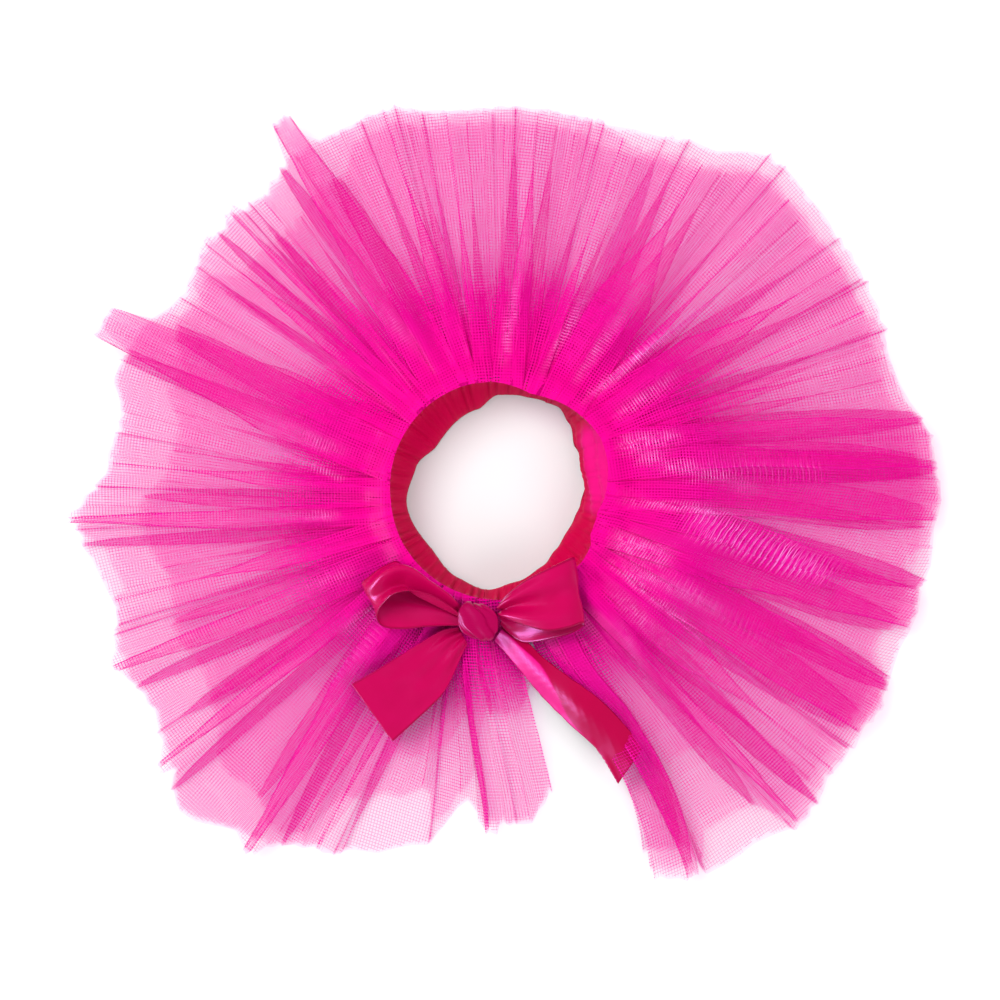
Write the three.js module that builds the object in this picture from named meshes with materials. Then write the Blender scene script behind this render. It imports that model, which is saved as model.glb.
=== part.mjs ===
// Dog tutu dress, laid out flat and seen from above: three gathered tulle layers on a satin ribbon waistband,
// open at the front and closed by a tied ribbon bow. Millimetres, +Z up, the bow at -Y, the surface at z = 0.
import * as THREE from 'three';

// Driving sizes
const RIBBON_WALL = 1.1;
const NET_WALL = 1.2;
const STEEPEST = 2.4;
const SEAM_GAP = 0.3;
const LAYER_GAP = 0.45;
const HEM_GAP = 1;
const BAND_TOP_RADIUS = 38.2;
const WAIST_RADIUS = BAND_TOP_RADIUS + RIBBON_WALL + SEAM_GAP;
const SKIRT_START = -68.4;
const EDGE_TURN = 4.5;
const SKIRT_END = 280;
const COLUMNS = 168;
const RINGS = [0, 0.1, 0.27, 0.5, 0.76, 1];
const SEAM_HEIGHT = 13;
const FRONT_SEAM_HEIGHT = 4;
const FRONT_ANGLE = 262;
const KNOT = { x: -6.7, y: -46, z: 21.6, wide: 12.4, deep: 14.6, tall: 11.5 };
const BAND_END_GAP = 0.6;
const BAND_SECTIONS = 60;
const BAND_LEVELS = [0, 0.28, 0.55, 1];
const RIBBON_ACROSS = [0, 0.25, 0.5, 0.75, 1];
const RIBBON_REST_REACH = 5;

// The skirt's main folds, counterclockwise from the front gap. at and waist: the fold's angle at the hem and
// at the waist, in degrees; reach: hem radius there; out: how far a pleat of the top layer sticks out past it;
// rise: height of its ridge; spread: half its width, in degrees.
const FOLDS = [
  { at: -68.4, waist: -80, reach: 149, out: 0, rise: 1, spread: 3 },
  { at: -64, waist: -70, reach: 153, out: 0, rise: 2, spread: 4 },
  { at: -60, waist: -61, reach: 158, out: 0, rise: 3, spread: 4 },
  { at: -55, waist: -55, reach: 154, out: 0, rise: 0, spread: 4 },
  { at: -48, waist: -50, reach: 158, out: 0, rise: 4.5, spread: 5 },
  { at: -40, waist: -41, reach: 154, out: 0, rise: 3, spread: 5 },
  { at: -33, waist: -30, reach: 153, out: 3, rise: 5, spread: 4 },
  { at: -26, waist: -25, reach: 153, out: 2, rise: 4, spread: 4 },
  { at: -18, waist: -20, reach: 152, out: 1, rise: 4, spread: 5 },
  { at: -10, waist: -5, reach: 154, out: 1, rise: 6, spread: 5 },
  { at: -4, waist: -1, reach: 155, out: 1, rise: 3, spread: 3 },
  { at: 3, waist: 9, reach: 154, out: 1, rise: 5, spread: 4 },
  { at: 10, waist: 18.5, reach: 152, out: 1, rise: 6, spread: 5 },
  { at: 14, waist: 21.5, reach: 146, out: 0, rise: 0, spread: 3 },
  { at: 19, waist: 24.5, reach: 146, out: 0, rise: 3, spread: 4 },
  { at: 26, waist: 28, reach: 148, out: 0, rise: 2, spread: 3 },
  { at: 33, waist: 36, reach: 149, out: 0, rise: 5, spread: 6 },
  { at: 45, waist: 44, reach: 151, out: 0, rise: 3, spread: 5 },
  { at: 55, waist: 50.5, reach: 150, out: 0, rise: 2, spread: 3 },
  { at: 58, waist: 53.5, reach: 141, out: 0, rise: 6, spread: 7 },
  { at: 66, waist: 69.5, reach: 137, out: 0, rise: 3, spread: 4 },
  { at: 73, waist: 75, reach: 132, out: 0, rise: 2, spread: 3 },
  { at: 84, waist: 83, reach: 135, out: 0, rise: 5, spread: 6 },
  { at: 97, waist: 99, reach: 135, out: 0, rise: 4, spread: 4 },
  { at: 107, waist: 105.5, reach: 140, out: 0, rise: 4, spread: 4 },
  { at: 114, waist: 111, reach: 139, out: 0, rise: 0, spread: 3 },
  { at: 120.5, waist: 117, reach: 139, out: 13, rise: 7, spread: 4 },
  { at: 129, waist: 130.5, reach: 133, out: 0, rise: 3, spread: 4 },
  { at: 134, waist: 134, reach: 134, out: 4, rise: 3, spread: 2.5 },
  { at: 140, waist: 138, reach: 134, out: 3, rise: 4, spread: 4 },
  { at: 148, waist: 148, reach: 131, out: 0, rise: 1, spread: 4 },
  { at: 156.9, waist: 160, reach: 138, out: 14, rise: 8, spread: 5.5 },
  { at: 163, waist: 168, reach: 142, out: 0, rise: 2, spread: 4 },
  { at: 169, waist: 173, reach: 136, out: 0, rise: 3, spread: 4 },
  { at: 176, waist: 179, reach: 138, out: 0, rise: 4, spread: 4 },
  { at: 181.5, waist: 188, reach: 141, out: 0, rise: 1, spread: 3 },
  { at: 184, waist: 192.5, reach: 149, out: 4, rise: 5, spread: 2.5 },
  { at: 196, waist: 198, reach: 142, out: 0, rise: 4, spread: 5 },
  { at: 205, waist: 212.5, reach: 146, out: 4, rise: 5, spread: 4 },
  { at: 212, waist: 216.5, reach: 144, out: 0, rise: 1, spread: 4 },
  { at: 219, waist: 220.5, reach: 149, out: 6, rise: 4, spread: 3 },
  { at: 225, waist: 225, reach: 160, out: 0, rise: 2, spread: 5 },
  { at: 235, waist: 229.5, reach: 150, out: 6, rise: 5, spread: 3 },
  { at: 243, waist: 246, reach: 142, out: 0, rise: 4, spread: 5 },
  { at: 250, waist: 251.5, reach: 136, out: 0, rise: 3, spread: 4 },
  { at: 257, waist: 255, reach: 129, out: 0, rise: 1, spread: 3 },
  { at: 264.5, waist: 260, reach: 110, out: 0, rise: 0, spread: 4 },
  { at: 268, waist: 262.5, reach: 118, out: 4, rise: 2.5, spread: 4 },
  { at: 275, waist: 268.5, reach: 118, out: 0, rise: 1, spread: 3 },
  { at: 280, waist: 275, reach: 108, out: 0, rise: 0, spread: 3 },
];

// The tulle layers, from the surface up. inset: how far its hem stays inside the outline; pleats: gathers round
// the waist; gather: their height; loft: how far it stands off the layer below; folds: share of each fold's rise;
// out: share of how far each pleat sticks out; trough: how much of its waves' lower part lies flat.
const LAYERS = [
  { name: 'skirt_under', inset: 0, pleats: 28, gather: 1.6, loft: 0, folds: 0.25, out: 0, trough: 0.5 },
  { name: 'skirt_middle', inset: 5, pleats: 42, gather: 1.7, loft: 2.4, folds: 0.3, out: 0, trough: 0 },
  { name: 'skirt_top', inset: 1.5, pleats: 42, gather: 2.2, loft: 3.6, folds: 0.75, out: 1, trough: 0 },
];

// The ribbon waistband. at: angle; foot: inner radius of its lower edge on the surface; height: that of its upper
// edge, which is crumpled down towards the knot.
const BAND = [
  { at: -98, foot: 35.5, height: 18.5 },
  { at: -80, foot: 33, height: 18.5 },
  { at: -60, foot: 31, height: 18.5 },
  { at: -47, foot: 29, height: 19 },
  { at: -33, foot: 27.6, height: 22 },
  { at: 0, foot: 29.4, height: 22 },
  { at: 30, foot: 31, height: 23 },
  { at: 50, foot: 34.6, height: 24 },
  { at: 90, foot: 33.6, height: 24 },
  { at: 105, foot: 29.5, height: 24 },
  { at: 145, foot: 27, height: 24 },
  { at: 165, foot: 30.4, height: 24 },
  { at: 190, foot: 33, height: 24 },
  { at: 220, foot: 31.6, height: 22 },
  { at: 245, foot: 34.2, height: 19.5 },
  { at: 262, foot: 35.5, height: 18.5 },
];

// The bow's ribbon, one row for each station along it. ax, ay, az and bx, by, bz: its two edges; crease: how far
// its middle is pushed out of the plane between them.
const LOOP_LEFT = [
  { ax: -13.7, ay: -44.4, az: 25, bx: -14.1, by: -40, bz: 24, crease: 0 },
  { ax: -18.3, ay: -41.2, az: 29, bx: -19, by: -34.5, bz: 25, crease: 0.8 },
  { ax: -24.3, ay: -37.7, az: 32, bx: -27.8, by: -30.3, bz: 25.5, crease: 1.6 },
  { ax: -30.6, ay: -35.2, az: 33.5, bx: -34, by: -24.2, bz: 25, crease: 2 },
  { ax: -36.3, ay: -36.3, az: 33.5, bx: -40, by: -25.7, bz: 24.5, crease: 2 },
  { ax: -40, ay: -39, az: 32, bx: -45, by: -28.6, bz: 23.5, crease: 1.2 },
  { ax: -42, ay: -42, az: 29.5, bx: -47.4, by: -32, bz: 22, crease: 0.6 },
  { ax: -41.6, ay: -45.2, az: 26.5, bx: -46.4, by: -36, bz: 20.5, crease: 0.4 },
  { ax: -38.8, ay: -47.6, az: 24, bx: -42, by: -38.6, bz: 19.2, crease: 0.4 },
  { ax: -32.5, ay: -47.8, az: 23, bx: -34.6, by: -39.4, bz: 18.6, crease: 0.4 },
  { ax: -25.6, ay: -47, az: 22.5, bx: -26, by: -40.4, bz: 19, crease: 0.2 },
  { ax: -18.6, ay: -46.6, az: 22, bx: -19, by: -42, bz: 19.8, crease: 0 },
  { ax: -13.9, ay: -46.8, az: 21.6, bx: -13.9, by: -43.4, bz: 20.4, crease: 0 },
];
const LOOP_RIGHT = [
  { ax: -0.1, ay: -39.6, az: 25.4, bx: 0.3, by: -43.4, bz: 25.2, crease: 0 },
  { ax: 3.4, ay: -35.6, az: 28.6, bx: 3.6, by: -44.8, bz: 27.4, crease: 0.8 },
  { ax: 9.4, ay: -31, az: 30.6, bx: 10.4, by: -47.2, bz: 29.4, crease: 1.6 },
  { ax: 16.2, ay: -27.4, az: 31.4, bx: 17.2, by: -48.6, bz: 30.2, crease: 1.6 },
  { ax: 21.4, ay: -25, az: 30.8, bx: 23.8, by: -47.6, bz: 29.4, crease: 1 },
  { ax: 25, ay: -23.4, az: 28.4, bx: 28.4, by: -46.2, bz: 27, crease: 0.4 },
  { ax: 26, ay: -24, az: 25.4, bx: 29.2, by: -47, bz: 24, crease: 0.2 },
  { ax: 22.4, ay: -27.4, az: 22.6, bx: 25, by: -49.4, bz: 21.4, crease: 0 },
  { ax: 15, ay: -32, az: 21.4, bx: 17.2, by: -50.4, bz: 20.6, crease: 0 },
  { ax: 8, ay: -36, az: 21, bx: 10.2, by: -50.8, bz: 20.4, crease: 0 },
  { ax: 3.4, ay: -40, az: 21, bx: 5, by: -49, bz: 20.6, crease: 0 },
  { ax: 0.2, ay: -42.4, az: 21.4, bx: 0.6, by: -46.4, bz: 21, crease: 0 },
];

// The tails lie on the skirt, so az and bz are heights above it.
const TAIL_LEFT = [
  { ax: -14.2, ay: -47.9, az: 1.4, bx: -11, by: -53.6, bz: 1.2, crease: 0.4 },
  { ax: -20, ay: -49, az: 0.8, bx: -13.4, by: -58.6, bz: 0.8, crease: 0.8 },
  { ax: -27.6, ay: -53.4, az: 0.4, bx: -16.4, by: -65.4, bz: 0.4, crease: 0.8 },
  { ax: -35.4, ay: -58.2, az: 0.3, bx: -20, by: -71.6, bz: 0.3, crease: 0.6 },
  { ax: -43.4, ay: -63, az: 0.3, bx: -28, by: -79.6, bz: 0.3, crease: 0.3 },
  { ax: -51.4, ay: -67.4, az: 0.3, bx: -37.2, by: -88, bz: 0.3, crease: 0 },
];
const TAIL_RIGHT = [
  { ax: -0.8, ay: -52.8, az: 0.8, bx: 1.4, by: -48.6, bz: 0.8, crease: 1.4 },
  { ax: 2.8, ay: -57.4, az: 0.5, bx: 8.4, by: -52, bz: 0.5, crease: 3 },
  { ax: 9.4, ay: -65.6, az: 0, bx: 15.8, by: -58.6, bz: 0, crease: 4 },
  { ax: 16, ay: -73.2, az: 0, bx: 24.6, by: -65.2, bz: 0, crease: 4.4 },
  { ax: 24.4, ay: -81.4, az: 0, bx: 34, by: -72, bz: 0, crease: 4 },
  { ax: 34, ay: -90.4, az: 0, bx: 43.6, by: -81.6, bz: 0, crease: 3 },
  { ax: 41.6, ay: -102.6, az: 0, bx: 50, by: -90.2, bz: 0, crease: 2 },
];

const radians = THREE.MathUtils.degToRad;
const lerp = THREE.MathUtils.lerp;
const smooth = THREE.MathUtils.smoothstep;

// A column of a table at any angle, eased between its rows or in straight lines.
function between(rows, at, column, way = 'eased') {
  const last = rows.length - 1;
  if (at <= rows[0].at) return rows[0][column];
  if (at >= rows[last].at) return rows[last][column];
  const i = rows.findIndex((row) => row.at > at) - 1;
  const t = (at - rows[i].at) / (rows[i + 1].at - rows[i].at);
  return lerp(rows[i][column], rows[i + 1][column], way === 'eased' ? smooth(t, 0, 1) : t);
}

// Degrees between an angle and the bow.
function fromFront(angle) {
  return Math.abs(((angle - FRONT_ANGLE + 540) % 360) - 180);
}

// A closed wall between two grids of points, front and back, with the same rows and columns.
function closedWall(front, back) {
  const rows = front.length;
  const columns = front[0].length;
  const points = [...front.flat(), ...back.flat()];
  const behind = rows * columns;
  const at = (row, column) => row * columns + column;
  const faces = [];
  const quad = (a, b, c, d) => faces.push(a, b, c, a, c, d);
  for (let row = 0; row < rows - 1; row += 1) {
    for (let column = 0; column < columns - 1; column += 1) {
      const a = at(row, column);
      const b = at(row + 1, column);
      const c = at(row + 1, column + 1);
      const d = at(row, column + 1);
      quad(a, b, c, d);
      faces.push(behind + a, behind + c, behind + b, behind + a, behind + d, behind + c);
    }
    quad(at(row, 0), behind + at(row, 0), behind + at(row + 1, 0), at(row + 1, 0));
    const a = at(row, columns - 1);
    const b = at(row + 1, columns - 1);
    quad(a, b, behind + b, behind + a);
  }
  for (let column = 0; column < columns - 1; column += 1) {
    quad(at(0, column), at(0, column + 1), behind + at(0, column + 1), behind + at(0, column));
    const a = at(rows - 1, column);
    const b = at(rows - 1, column + 1);
    quad(a, behind + a, behind + b, b);
  }
  return solid(points, faces);
}

// A geometry from points and triangles, turned the right way out.
function solid(points, faces) {
  const volume = faces.reduce((sum, face, i) => {
    if (i % 3) return sum;
    const [a, b, c] = [points[face], points[faces[i + 1]], points[faces[i + 2]]];
    return sum + a.dot(b.clone().cross(c)) / 6;
  }, 0);
  const outward = volume > 0 ? faces : faces.reverse();
  const geometry = new THREE.BufferGeometry();
  geometry.setAttribute('position', new THREE.Float32BufferAttribute(points.flatMap((p) => p.toArray()), 3));
  geometry.setIndex(outward);
  geometry.computeVertexNormals();
  return geometry;
}

// A grid of points moved out along its own normals by a distance.
function movedOut(grid, distance) {
  return grid.map((line, row) => line.map((point, column) => {
    const along = new THREE.Vector3().subVectors(
      grid[Math.min(row + 1, grid.length - 1)][column],
      grid[Math.max(row - 1, 0)][column],
    );
    const across = new THREE.Vector3().subVectors(
      line[Math.min(column + 1, line.length - 1)],
      line[Math.max(column - 1, 0)],
    );
    return point.clone().addScaledVector(along.cross(across).normalize(), distance);
  }));
}

// Skirt: where each column of the net runs in plan, from the waist (v = 0) to the hem (v = 1).
const columnAngles = Array.from({ length: COLUMNS + 1 }, (_, j) => {
  const even = lerp(SKIRT_START, SKIRT_END, j / COLUMNS);
  return even + 0.5 * Math.sin(radians(even * 7)) + 0.3 * Math.sin(radians(even * 17));
});

function planPoint(angle, v, reach) {
  const inward = lerp(angle, between(FOLDS, angle, 'waist', 'straight'), (1 - v) ** 1.5);
  const nearStart = 1 - smooth(angle, SKIRT_START, SKIRT_START + 16);
  const turned = radians(inward + EDGE_TURN * nearStart * Math.sin(Math.PI * v) * smooth(v, 0.15, 0.5));
  const radius = lerp(WAIST_RADIUS, reach, v);
  return new THREE.Vector3(radius * Math.cos(turned), radius * Math.sin(turned), 0);
}

function hemReach(layer, angle, column) {
  const ragged = 0.8 * Math.sin(column * 2.1) + 0.6 * Math.sin(column * 0.73 + layer.pleats);
  return between(FOLDS, angle, 'reach') + layer.out * pleatOut(angle) - layer.inset + ragged;
}

// How far the pleats of the top layer stick out at an angle: flat ends with steep sides.
function pleatOut(angle) {
  return FOLDS.reduce((most, fold) => {
    const off = Math.abs(angle - fold.at);
    const flat = 0.4 * fold.spread;
    return Math.max(most, fold.out * (1 - smooth(off, flat, flat + 1.3)));
  }, 0);
}

// Height that the layer's gathers and folds add over what lies below it.
function layerLift(layer, column, angle, v) {
  const front = smooth(fromFront(angle), 12, 50);
  const turn = (column * layer.pleats) / COLUMNS;
  const unevenness = 0.75 + 0.25 * Math.sin(1.9 * Math.floor(turn) + layer.loft);
  const pleat = unevenness * (0.5 - 0.5 * Math.cos(2 * Math.PI * turn));
  const fade = lerp(0.8, 1, smooth(v, 0, 0.25)) * lerp(1, 0.35, smooth(v, 0.35, 1));
  const ridge = FOLDS.reduce((sum, fold) => {
    const off = Math.abs(angle - fold.at) / (fold.spread * lerp(1.5, 0.8, v));
    return sum + fold.rise * (1 - smooth(off, 0, 1));
  }, 0);
  const swell = smooth(v, 0, 0.3) * lerp(1, 0.55, smooth(v, 0.4, 1));
  const loft = layer.loft * smooth(v, 0, 0.25) * (1 - smooth(v, 0.45, 1));
  const wave = layer.gather * pleat * fade + layer.folds * ridge * swell + loft - layer.trough;
  return lerp(0.45, 1, front) * Math.max(wave, 0);
}

// Height of the lowest layer's underside before its own waves: from the seam down to the surface.
function footing(angle, v) {
  const seam = lerp(FRONT_SEAM_HEIGHT, SEAM_HEIGHT, smooth(fromFront(angle), 8, 60));
  return seam * (1 - smooth(v, 0, 0.5));
}

// The three layers, each grid of heights resting on the one below along every column.
function skirtLayers() {
  let below = null;
  return LAYERS.map((layer) => {
    const plan = RINGS.map((v) => columnAngles.map((angle, j) => {
      const shared = between(FOLDS, angle, 'reach');
      return planPoint(angle, v, v < 1 ? shared : hemReach(layer, angle, j));
    }));
    const bottom = plan.map((line, row) => line.map((point, j) => {
      const v = RINGS[row];
      const lift = layerLift(layer, j, columnAngles[j], v);
      const gap = v < 1 ? LAYER_GAP : HEM_GAP;
      const rest = below ? heightBelow(below, row, j, point) + gap : footing(columnAngles[j], v);
      return point.clone().setZ(rest + lift);
    }));
    const top = bottom.map((line, row) => line.map((point, j) => {
      const slope = steepness(bottom, row, j);
      return point.clone().setZ(point.z + NET_WALL * Math.min(Math.hypot(1, slope), STEEPEST));
    }));
    below = { top, bottom };
    return { layer, top, bottom };
  });
}

// Height of the layer below under a point: the same ring inside the hem, along the column at the hem itself.
function heightBelow(below, row, j, point) {
  if (row < RINGS.length - 1) return below.top[row][j].z;
  const inner = below.top[row - 1][j];
  const outer = below.top[row][j];
  const inPlan = (a, b) => Math.hypot(a.x - b.x, a.y - b.y);
  const along = Math.min(inPlan(point, inner) / inPlan(outer, inner), 1);
  return Math.max(outer.z, lerp(inner.z, outer.z, along));
}

// Slope of a height grid at one of its points.
function steepness(grid, row, j) {
  const rise = (a, b) => Math.abs(a.z - b.z) / Math.max(Math.hypot(a.x - b.x, a.y - b.y), 0.01);
  const line = grid[row];
  const inward = grid[Math.max(row - 1, 0)][j];
  const outward = grid[Math.min(row + 1, grid.length - 1)][j];
  const left = line[Math.max(j - 1, 0)];
  const right = line[Math.min(j + 1, line.length - 1)];
  return Math.hypot(rise(inward, outward), (rise(left, line[j]) + rise(line[j], right)) / 2);
}

const skirt = skirtLayers();

const net = new THREE.MeshStandardMaterial({ color: 0xf2229a, roughness: 0.8, metalness: 0 });
const skirtMeshes = skirt.map(({ layer, top, bottom }) => {
  const mesh = new THREE.Mesh(closedWall(top, bottom), net);
  mesh.name = layer.name;
  return mesh;
});

// Highest point of the skirt within a distance of a place, for what lies on it.
function skirtTopNear(x, y, distance) {
  const ray = new THREE.Raycaster(new THREE.Vector3(), new THREE.Vector3(0, 0, -1));
  let highest = 0;
  for (let k = 0; k < 17; k += 1) {
    const turn = (2 * Math.PI * k) / 8;
    const off = k === 16 ? 0 : distance * (k < 8 ? 1 : 0.5);
    ray.ray.origin.set(x + off * Math.cos(turn), y + off * Math.sin(turn), 100);
    skirtMeshes.forEach((mesh) => {
      const [hit] = ray.intersectObject(mesh);
      if (hit) highest = Math.max(highest, hit.point.z);
    });
  }
  return highest;
}

// Waistband: an open ring of ribbon on edge, its upper half upright and its lower half drawn in to the foot.
function waistband() {
  const start = BAND[0].at + BAND_END_GAP;
  const end = BAND[BAND.length - 1].at - BAND_END_GAP;
  const inner = Array.from({ length: BAND_SECTIONS + 1 }, (_, i) => {
    const angle = lerp(start, end, i / BAND_SECTIONS);
    const foot = between(BAND, angle, 'foot');
    const crumple = 0.35 * Math.sin(radians(angle * 13)) + 0.25 * Math.sin(radians(angle * 23));
    return BAND_LEVELS.map((level) => {
      const lean = smooth(level, 0, 0.62);
      const radius = lerp(foot, BAND_TOP_RADIUS, lean) + crumple * 4 * level * (1 - level) * (1 - lean);
      const height = between(BAND, angle, 'height') * level;
      return new THREE.Vector3(radius * Math.cos(radians(angle)), radius * Math.sin(radians(angle)), height);
    });
  });
  const outer = inner.map((section) => section.map((point) => {
    const grow = 1 + RIBBON_WALL / Math.hypot(point.x, point.y);
    return new THREE.Vector3(point.x * grow, point.y * grow, point.z);
  }));
  return closedWall(outer, inner);
}

// A strip of ribbon through a table of stations. lies: true where its heights are above the skirt.
function ribbon(rows, { steps, lies }) {
  const height = (x, y, z) => {
    const rest = skirtTopNear(x, y, RIBBON_REST_REACH) + SEAM_GAP + RIBBON_WALL / 2;
    return lies ? rest + z : Math.max(rest, z);
  };
  const edge = (x, y, z) => new THREE.CatmullRomCurve3(
    rows.map((row) => new THREE.Vector3(row[x], row[y], height(row[x], row[y], row[z]))),
  );
  const a = edge('ax', 'ay', 'az');
  const b = edge('bx', 'by', 'bz');
  const middle = Array.from({ length: steps + 1 }, (_, i) => {
    const t = i / steps;
    const row = t * (rows.length - 1);
    const low = Math.min(Math.floor(row), rows.length - 2);
    const crease = lerp(rows[low].crease, rows[low + 1].crease, row - low);
    const from = a.getPoint(t);
    const to = b.getPoint(t);
    const along = a.getTangent(t).add(b.getTangent(t));
    const out = along.cross(new THREE.Vector3().subVectors(to, from)).normalize();
    if (lies && out.z < 0) out.negate();
    return RIBBON_ACROSS.map((s) => {
      const push = crease * (1 - Math.abs(2 * s - 1));
      return from.clone().lerp(to, s).addScaledVector(out, push);
    });
  });
  return closedWall(movedOut(middle, RIBBON_WALL / 2), movedOut(middle, -RIBBON_WALL / 2));
}

// Knot: the ribbon wrapped once round the bow's middle, a soft barrel with its waist drawn in.
function knot() {
  const sections = 8;
  const around = 18;
  const points = [];
  const faces = [];
  const square = (value) => Math.sign(value) * Math.abs(value) ** 0.8;
  for (let i = 0; i <= sections; i += 1) {
    const t = i / sections;
    const end = Math.sin(Math.PI * lerp(0.12, 0.88, t)) ** 0.5;
    const deep = KNOT.deep * lerp(0.42, 0.5, t) * end;
    const tall = KNOT.tall * 0.5 * end;
    for (let k = 0; k < around; k += 1) {
      const turn = (2 * Math.PI * k) / around;
      points.push(new THREE.Vector3(
        KNOT.x + KNOT.wide * (t - 0.5),
        KNOT.y + deep * square(Math.cos(turn)),
        KNOT.z + tall * square(Math.sin(turn)),
      ));
      if (i < sections) {
        const a = i * around + k;
        const b = i * around + ((k + 1) % around);
        faces.push(a, b, b + around, a, b + around, a + around);
      }
    }
  }
  for (let k = 1; k < around - 1; k += 1) {
    const last = sections * around;
    faces.push(0, k + 1, k, last, last + k, last + k + 1);
  }
  return solid(points, faces);
}

const satin = new THREE.MeshStandardMaterial({ color: 0xc4024f, roughness: 0.35, metalness: 0 });
const tutu = new THREE.Group();

function add(name, geometry, material) {
  const mesh = new THREE.Mesh(geometry, material);
  mesh.name = name;
  tutu.add(mesh);
}

tutu.add(...skirtMeshes);
add('waistband', waistband(), satin);
add('knot', knot(), satin);
add('loop_left', ribbon(LOOP_LEFT, { steps: 30, lies: false }), satin);
add('loop_right', ribbon(LOOP_RIGHT, { steps: 28, lies: false }), satin);
add('tail_left', ribbon(TAIL_LEFT, { steps: 12, lies: true }), satin);
add('tail_right', ribbon(TAIL_RIGHT, { steps: 16, lies: true }), satin);

// The origin is moved to the middle of the dress on the surface.
const box = new THREE.Box3().setFromObject(tutu);
tutu.position.set(-(box.min.x + box.max.x) / 2, -(box.min.y + box.max.y) / 2, -box.min.z);
tutu.updateMatrixWorld(true);

export default tutu;
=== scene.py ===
import math

import bpy
import numpy as np
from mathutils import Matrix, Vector
from mathutils.bvhtree import BVHTree


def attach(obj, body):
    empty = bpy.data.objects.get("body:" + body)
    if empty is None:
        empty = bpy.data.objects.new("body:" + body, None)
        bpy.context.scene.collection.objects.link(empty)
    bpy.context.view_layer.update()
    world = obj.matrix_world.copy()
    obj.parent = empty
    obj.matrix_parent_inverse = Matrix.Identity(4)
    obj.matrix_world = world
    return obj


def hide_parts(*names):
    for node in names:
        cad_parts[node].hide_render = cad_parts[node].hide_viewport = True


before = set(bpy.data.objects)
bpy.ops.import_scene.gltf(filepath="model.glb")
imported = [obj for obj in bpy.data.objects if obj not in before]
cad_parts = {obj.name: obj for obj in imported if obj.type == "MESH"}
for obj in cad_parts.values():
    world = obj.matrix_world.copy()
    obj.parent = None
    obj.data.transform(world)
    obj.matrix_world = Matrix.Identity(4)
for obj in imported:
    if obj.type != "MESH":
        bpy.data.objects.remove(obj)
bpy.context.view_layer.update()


def table(names, rows):
    """Rows of values, each as a dictionary under the names of the columns."""
    return [dict(zip(names.split(), row)) for row in rows]


# Net skirt: three straight strips of soft nylon net, each gathered along one long edge and sewn to the
# ribbon. The cloth keeps its own length at every distance from the waist, so what the narrower rings can't
# take is folded over itself, and the skirt is densest at the seam.
RING_CENTRE = (-2.708, 1.676)
WAIST_RADIUS = 39.6
SKIRT_START = -68.4
SKIRT_END = 280.0

# The mean reach of the folds, and the mean radius of the three hems.
MEAN_REACH = 141.0
MEAN_HEM_RADIUS = 140.0

# How the net is laid: the number of its rows, closer near the waist; the columns of a pass, as shares of
# it; the columns at each of its ends, as millimetres and how far the net stands on edge there; a pass
# narrower than ROOM_FOR_TURNS has smaller turns. At its right front edge the net runs a few degrees aside
# half way in.
NET_ROWS = 48
CLOSER_AT_WAIST = 1.15
PASS_SHARES = [0.2, 0.4, 0.6, 0.8]
TURN_STEPS = [(0.0, 1.0), (0.4, 0.85), (0.9, 0.0)]
ROOM_FOR_TURNS = 3.2
EDGE_TURN = 4.5
EDGE_TURN_WIDE = 16.0

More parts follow.
